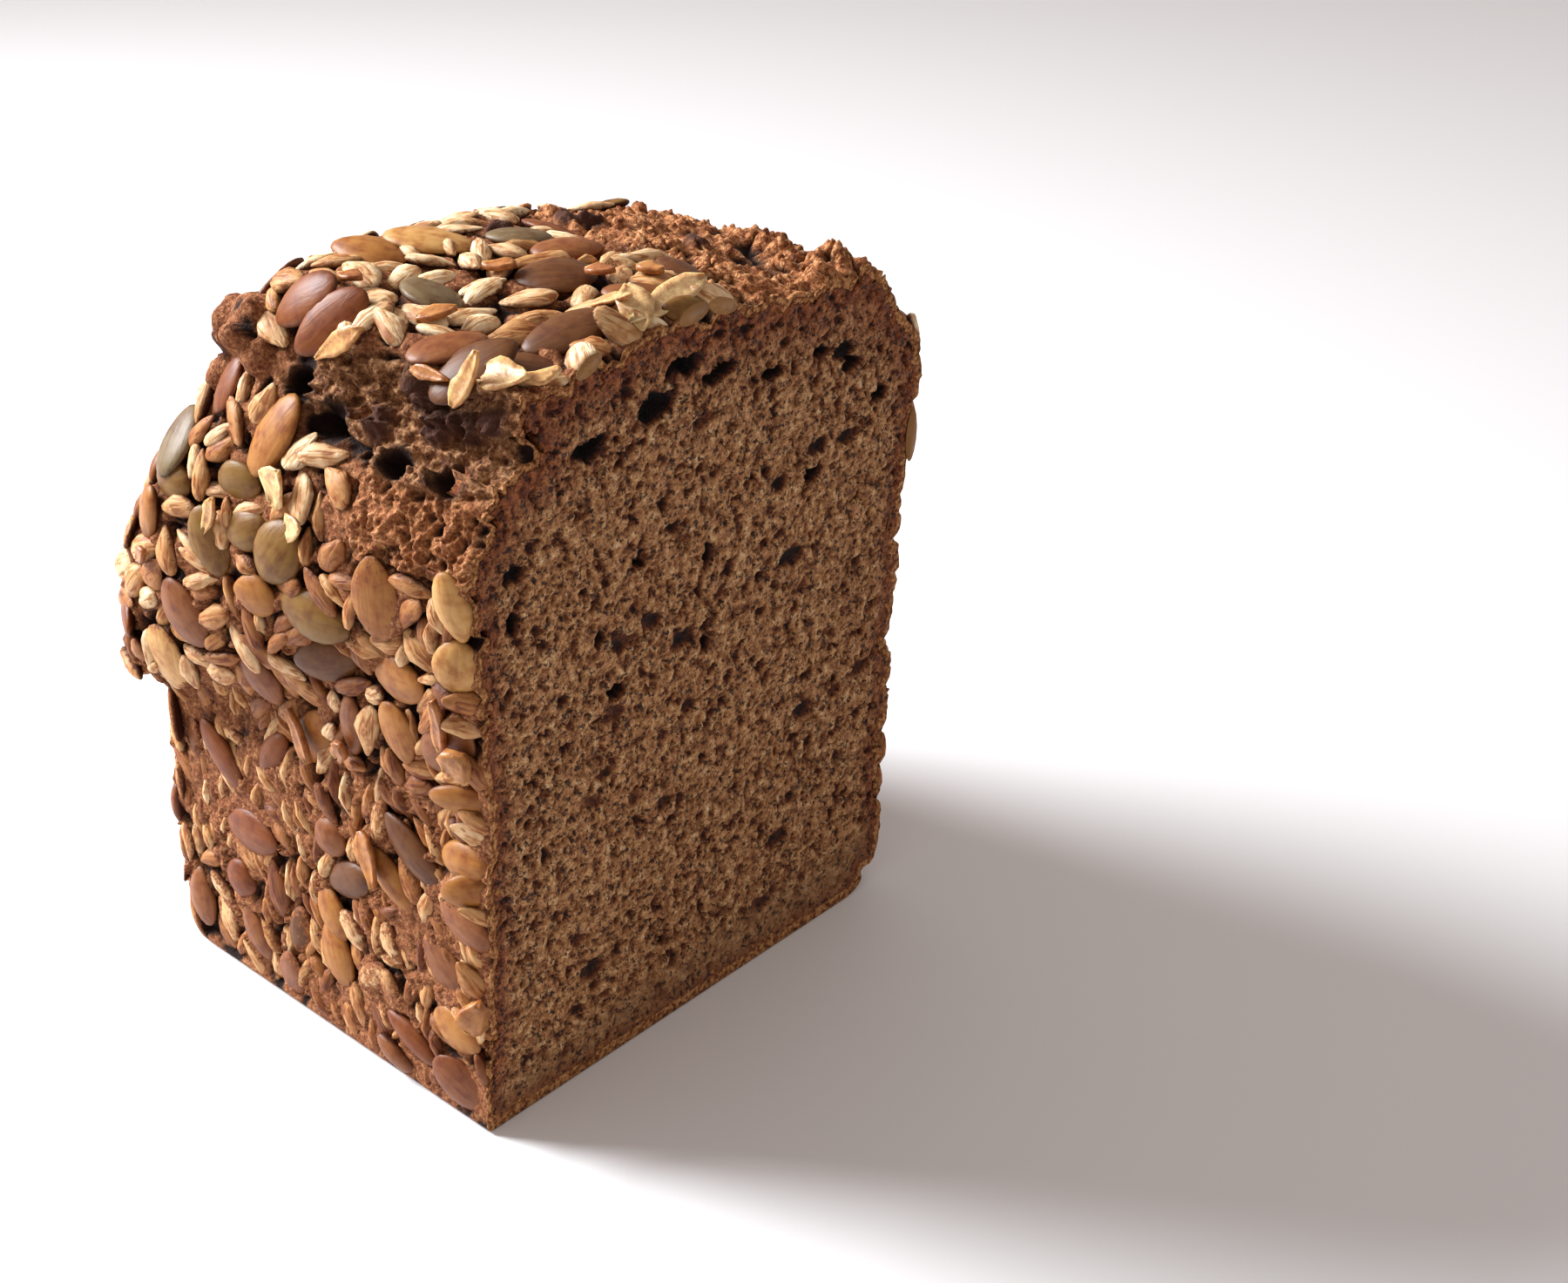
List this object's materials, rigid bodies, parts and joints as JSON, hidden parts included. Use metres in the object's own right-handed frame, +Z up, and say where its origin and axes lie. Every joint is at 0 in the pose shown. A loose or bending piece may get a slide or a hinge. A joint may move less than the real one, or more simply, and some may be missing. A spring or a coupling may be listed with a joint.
{
  "type": "seeded rye bread loaf half",
  "caption": "Half of a tin-baked rye loaf cut across, with a porous crumb face and a rough crust covered in pumpkin and sunflower seeds.",
  "frame": {"origin": "on the plane it stands on, under the middle of the loaf's bounding box", "axes": "+Z up; X along the loaf's long axis, with the cut face looking along +X; Y across the loaf"},
  "size_m": [0.083, 0.1028, 0.1221],
  "materials": {
    "crust": "matt, rough reddish-brown baked crust",
    "crumb": "matt, grey-brown porous crumb",
    "pumpkin_seed": "smooth satin skin, olive to toasted brown",
    "sunflower_seed": "satin, beige to toasted"
  },
  "bodies": {
    "root": {"loaf": "crust"}
  },
  "joints": []
}
